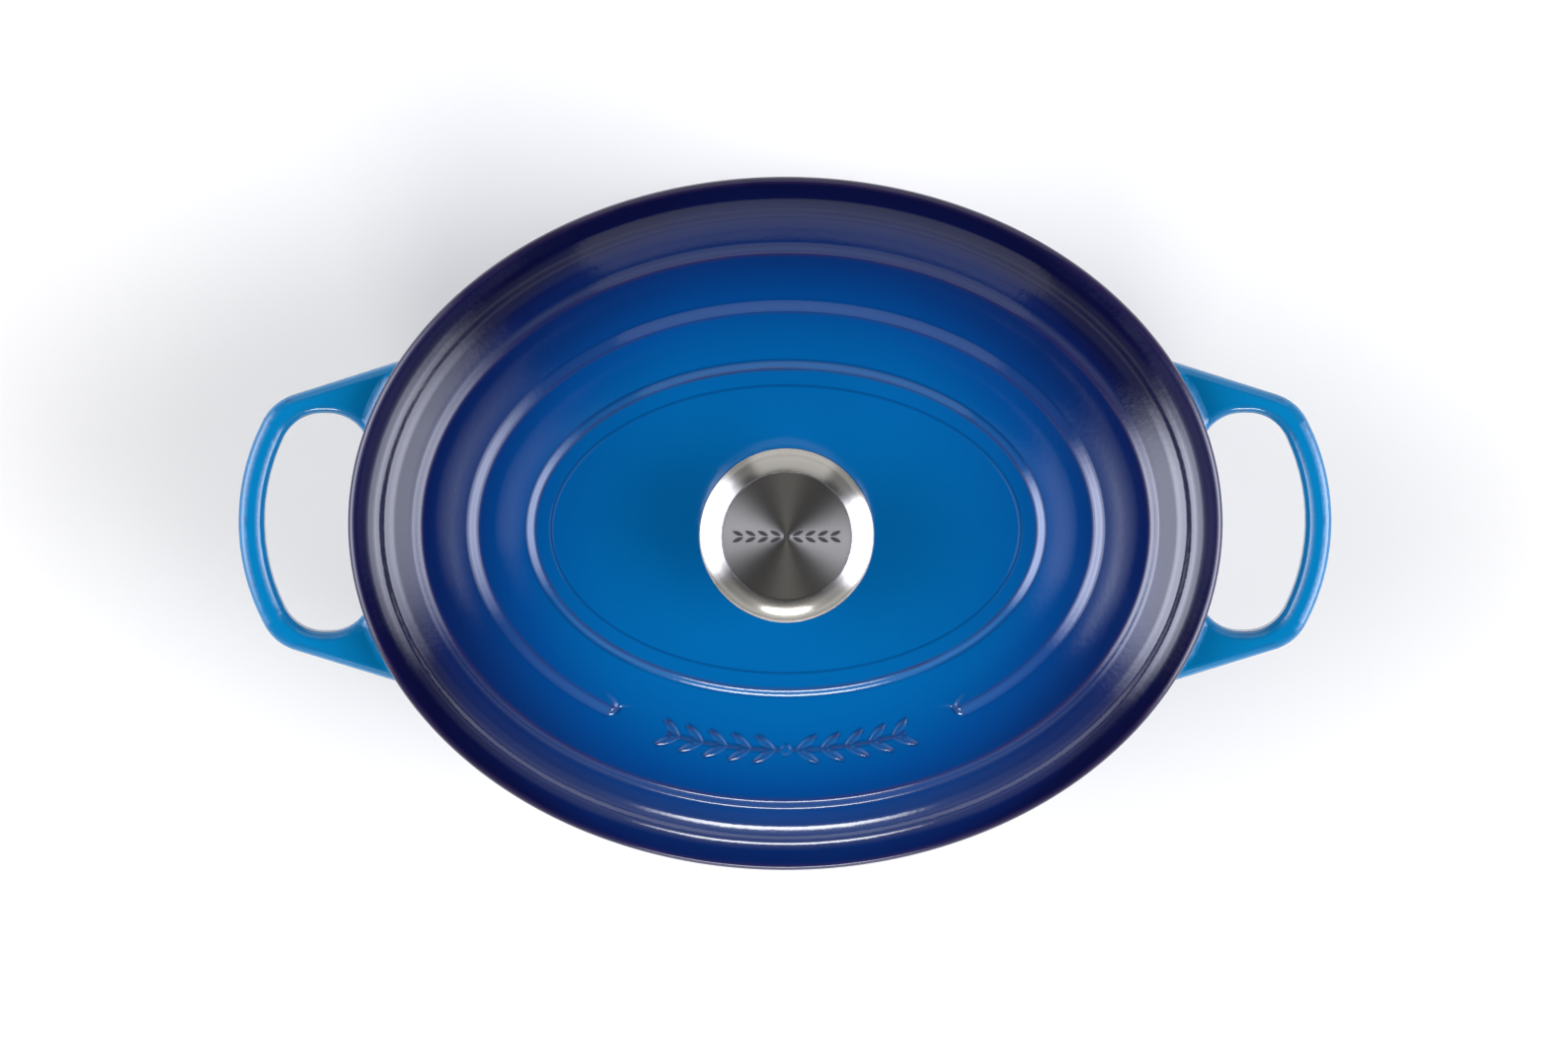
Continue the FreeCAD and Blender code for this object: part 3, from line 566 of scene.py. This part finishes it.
# ---- materials ----
def lid_enamel():
    """Bright blue in the middle, sprayed over to a purple navy that reaches furthest in at the ends."""
    tree = Tree("lid_enamel")
    place = tree.position()
    x, y, _ = tree.split(place)
    along = tree.math("DIVIDE", x, HALF_LENGTH * MM)
    across = tree.math("DIVIDE", tree.math("ADD", y, SPRAY_SHIFT * MM), SPRAY_HALF_WIDTH * MM)
    bright = tree.ramp(tree.length(along, across), grey_stops([
        (0.0, 0.90), (0.30, 0.92), (0.435, 0.82), (0.52, 0.68), (0.61, 0.44), (0.70, 0.245),
        (0.765, 0.15), (0.81, 0.12), (0.86, 0.055), (0.94, 0.03), (1.0, 0.0)]))
    blues = [(0.00, (0.0055, 0.0055, 0.0420)), (0.04, (0.0024, 0.0028, 0.0230)),
             (0.10, (0.0024, 0.0085, 0.0580)), (0.30, (0.0014, 0.0320, 0.1390)),
             (0.45, (0.0008, 0.0480, 0.1860)), (0.60, (0.0006, 0.0660, 0.2140)),
             (0.80, (0.0005, 0.0885, 0.2580)), (1.00, (0.0005, 0.1100, 0.2880))]
    plum = (0.030, 0.018, 0.055, 1)
    enamel_colour(tree, place, bright, blues, plum)
    enamel_skin(tree, place)
    return tree.owner


def pot_enamel():
    """Azure at the rim and handles, deepening to navy at the foot."""
    tree = Tree("pot_enamel")
    place = tree.position()
    height = tree.math("DIVIDE", tree.split(place)[2], RIM_Z * MM)
    blues = [(0.00, (0.0028, 0.0050, 0.0280)), (0.16, (0.0024, 0.0090, 0.0470)),
             (0.40, (0.0010, 0.0380, 0.1200)), (0.66, (0.0009, 0.0980, 0.2500)),
             (0.84, (0.0012, 0.1570, 0.3450)), (1.00, (0.0016, 0.1700, 0.3660))]
    steel_blue = (0.020, 0.045, 0.110, 1)
    enamel_colour(tree, place, height, blues, steel_blue)
    enamel_skin(tree, place)
    return tree.owner


def black_enamel():
    """The matt black ground coat left bare on the rims, where lid and pot meet."""
    tree = Tree("black_rim_enamel")
    grain = tree.noise(tree.position(), scale=900.0, detail=3.0, roughness=0.6)
    tree.set(Base_Color=tree.ramp(grain, grey_stops([(0.3, 0.010), (0.75, 0.028)])), IOR=1.5,
             Roughness=tree.rise(grain, low=0.32, span=0.25), Normal=tree.bump(grain, distance=0.06 * MM))
    return tree.owner


def sand_enamel():
    """The smooth pale sand enamel of the cooking surfaces, with the faint flecks of the fired glass."""
    tree = Tree("sand_enamel")
    place = tree.position()
    fleck_brown = (0.42, 0.34, 0.22, 1)
    sand = [(0.3, (0.66, 0.585, 0.44)), (0.7, (0.72, 0.645, 0.50))]
    tone = tree.ramp(tree.noise(place, scale=16.0, detail=3.0), sand)
    flecks = tree.ramp(tree.noise(place, scale=1100.0, detail=1.0), grey_stops([(0.70, 0), (0.78, 0.35)]))
    tree.set(Base_Color=tree.mix(flecks, tone, fleck_brown))
    enamel_skin(tree, place, roughness=0.14)
    return tree.owner


def spun_steel():
    """The knob's face, turned with fine circular grooves."""
    tree = Tree("knob_spun_steel")
    x, y, _ = tree.split(tree.position())
    grooves = tree.math("MULTIPLY", tree.length(x, y), 5200.0)  # grooves per metre of radius
    along = tree.add("ShaderNodeCombineXYZ", {0: grooves}).outputs[0]
    rings = tree.noise(along, scale=1.0, detail=2.0, roughness=0.7)
    steel = [(0.25, (0.172, 0.163, 0.149)), (0.75, (0.283, 0.268, 0.244))]
    round_axis = tree.add("ShaderNodeTangent", direction_type="RADIAL", axis="Z").outputs[0]
    tree.set(Base_Color=tree.ramp(rings, steel), Metallic=1.0, Anisotropic=0.85, Anisotropic_Rotation=0.25,
             Roughness=tree.rise(rings, low=0.40, span=0.08), Normal=tree.bump(rings, distance=0.008 * MM),
             Tangent=round_axis)
    return tree.owner


def polished_steel(name="knob_polished_steel", roughness=0.15):
    """Bright stainless, with the faint smears and hairlines of a buffed surface."""
    tree = Tree(name)
    place = tree.position()
    smear = tree.noise(place, scale=70.0, detail=4.0, roughness=0.6)
    hairlines = tree.noise(place, scale=420.0, detail=2.0)
    steel = [(0.3, (0.60, 0.575, 0.535)), (0.7, (0.67, 0.645, 0.60))]
    tree.set(Base_Color=tree.ramp(smear, steel), Metallic=1.0,
             Roughness=tree.rise(smear, low=roughness, span=0.06),
             Normal=tree.bump(hairlines, distance=0.006 * MM))
    return tree.owner


def step_shade_steel():
    """The small slope round the knob's face, in dark rough steel: painted shade for the dark line that the
    recessed step shows.
    """
    tree = Tree("knob_step_painted_shade")
    grain = tree.noise(tree.position(), scale=900.0, detail=3.0)
    tree.set(Base_Color=tree.ramp(grain, grey_stops([(0.3, 0.09), (0.7, 0.16)])), Metallic=1.0,
             Roughness=0.5, Normal=tree.bump(grain, distance=0.01 * MM))
    return tree.owner


def etched_mark():
    """The dark, slightly grainy bottom of an etched mark."""
    tree = Tree("etched_mark")
    grain = tree.noise(tree.position(), scale=2600.0, detail=2.0)
    tree.set(Base_Color=tree.ramp(grain, grey_stops([(0.3, 0.012), (0.7, 0.03)])), Roughness=0.6,
             Normal=tree.bump(grain, distance=0.01 * MM))
    return tree.owner


# ---- studio ----
def make_floor():
    corners = [(-FLOOR_HALF, -FLOOR_HALF, 0), (FLOOR_HALF, -FLOOR_HALF, 0),
               (FLOOR_HALF, FLOOR_HALF, 0), (-FLOOR_HALF, FLOOR_HALF, 0)]
    floor = new_object(mesh_from("floor", corners, [(0, 1, 2, 3)]))
    tree = Tree("floor_paper")
    tree.set(Base_Color=(0.89, 0.86, 0.775, 1), Roughness=0.9, Specular_IOR_Level=0.1)
    floor.data.materials.append(tree.owner)


def make_world():
    """A dark studio with a soft box on each side, a panel behind, a thin strip in front and faint haze."""
    tree = Tree("studio", "worlds")
    x, y, height = tree.split(tree.add("ShaderNodeTexCoord").outputs["Generated"])
    just_over_one = 1.0001    # keeps the level distance above zero at the zenith
    level = tree.math("SQRT", tree.math("SUBTRACT", just_over_one, tree.math("MULTIPLY", height, height)))

    def off(azimuth):
        """Cosine of the angle off this azimuth, seen from above."""
        turn = math.radians(azimuth)
        part = tree.math("ADD", tree.math("MULTIPLY", x, math.cos(turn)),
                         tree.math("MULTIPLY", y, math.sin(turn)))
        return tree.math("DIVIDE", part, level)

    total = grey(0.0)
    for azimuth, span, radiance, shares in LIGHTS + HAZES:
        reach = 1.0 if azimuth is None else tree.fade(off(azimuth), *span)
        share = tree.math("MULTIPLY", reach, tree.ramp(height, grey_stops(shares)))
        total = tree.vector("ADD", total, tree.vector("MULTIPLY", share, radiance))
    tree.put(tree.shader.inputs["Color"], total)
    bpy.context.scene.world = tree.owner


def make_camera():
    """Nearly straight above the lid, leaning a little to the back and a trace to the left."""
    lean_back, lean_right = math.radians(CAMERA_LEAN_BACK), math.radians(CAMERA_LEAN_RIGHT)
    target = (*CAMERA_AIM, (LID_Z + FLANGE_THICKNESS) * MM)
    place = (target[0] + CAMERA_DISTANCE * math.sin(lean_right),
             target[1] + CAMERA_DISTANCE * math.sin(lean_back),
             target[2] + CAMERA_DISTANCE * math.cos(lean_back) * math.cos(lean_right))
    back = (Vector(place) - Vector(target)).normalized()
    right = Vector((0, 1, 0)).cross(back).normalized()
    turn = Matrix([right, back.cross(right), back]).transposed()
    camera = bpy.data.objects.new("camera", bpy.data.cameras.new("camera"))
    camera.matrix_world = Matrix.Translation(place) @ turn.to_4x4()
    camera.data.sensor_width = SENSOR_WIDTH
    camera.data.lens = SENSOR_WIDTH * CAMERA_DISTANCE / FRAME_WIDTH
    bpy.context.scene.collection.objects.link(camera)
    bpy.context.scene.camera = camera


make_camera()
make_floor()
make_world()
bpy.context.scene.view_settings.view_transform = "Standard"

# ---- castings ----
lid, lugs, pot = make_lid(), make_lugs(), make_pot()
rim_enamel, cooking_enamel = black_enamel(), sand_enamel()
lid_outside, pot_outside = lid_enamel(), pot_enamel()
for casting, outside in ((lid, lid_outside), (pot, pot_outside)):
    for material in (outside, rim_enamel, cooking_enamel):
        casting.data.materials.append(material)
lugs.data.materials.append(rim_enamel)
for piece in (lid, lugs):
    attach(piece, "lid")
    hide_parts("lid")

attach(pot, "pot")
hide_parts("pot")

# ---- knob and fasteners ----
polished = polished_steel()
knob_cap, knob_mark = make_knob_cap(), make_knob_mark()
# the slope's dark steel, the second of these, is painted shade
for material in (spun_steel(), step_shade_steel(), polished):
    knob_cap.data.materials.append(material)
knob_mark.data.materials.append(etched_mark())
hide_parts("knob_cap")
for piece in (knob_cap, knob_mark):
    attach(piece, "lid")
for name, material in (("knob_body", polished), ("knob_insert", polished_steel("insert_steel", 0.3)),
                       ("knob_screw", polished_steel("screw_steel", 0.25)),
                       ("flat_washer", polished_steel("washer_steel", 0.25)),
                       ("spring_washer", polished_steel("spring_steel", 0.35))):
    nodes[name].data.materials.clear()
    nodes[name].data.materials.append(material)
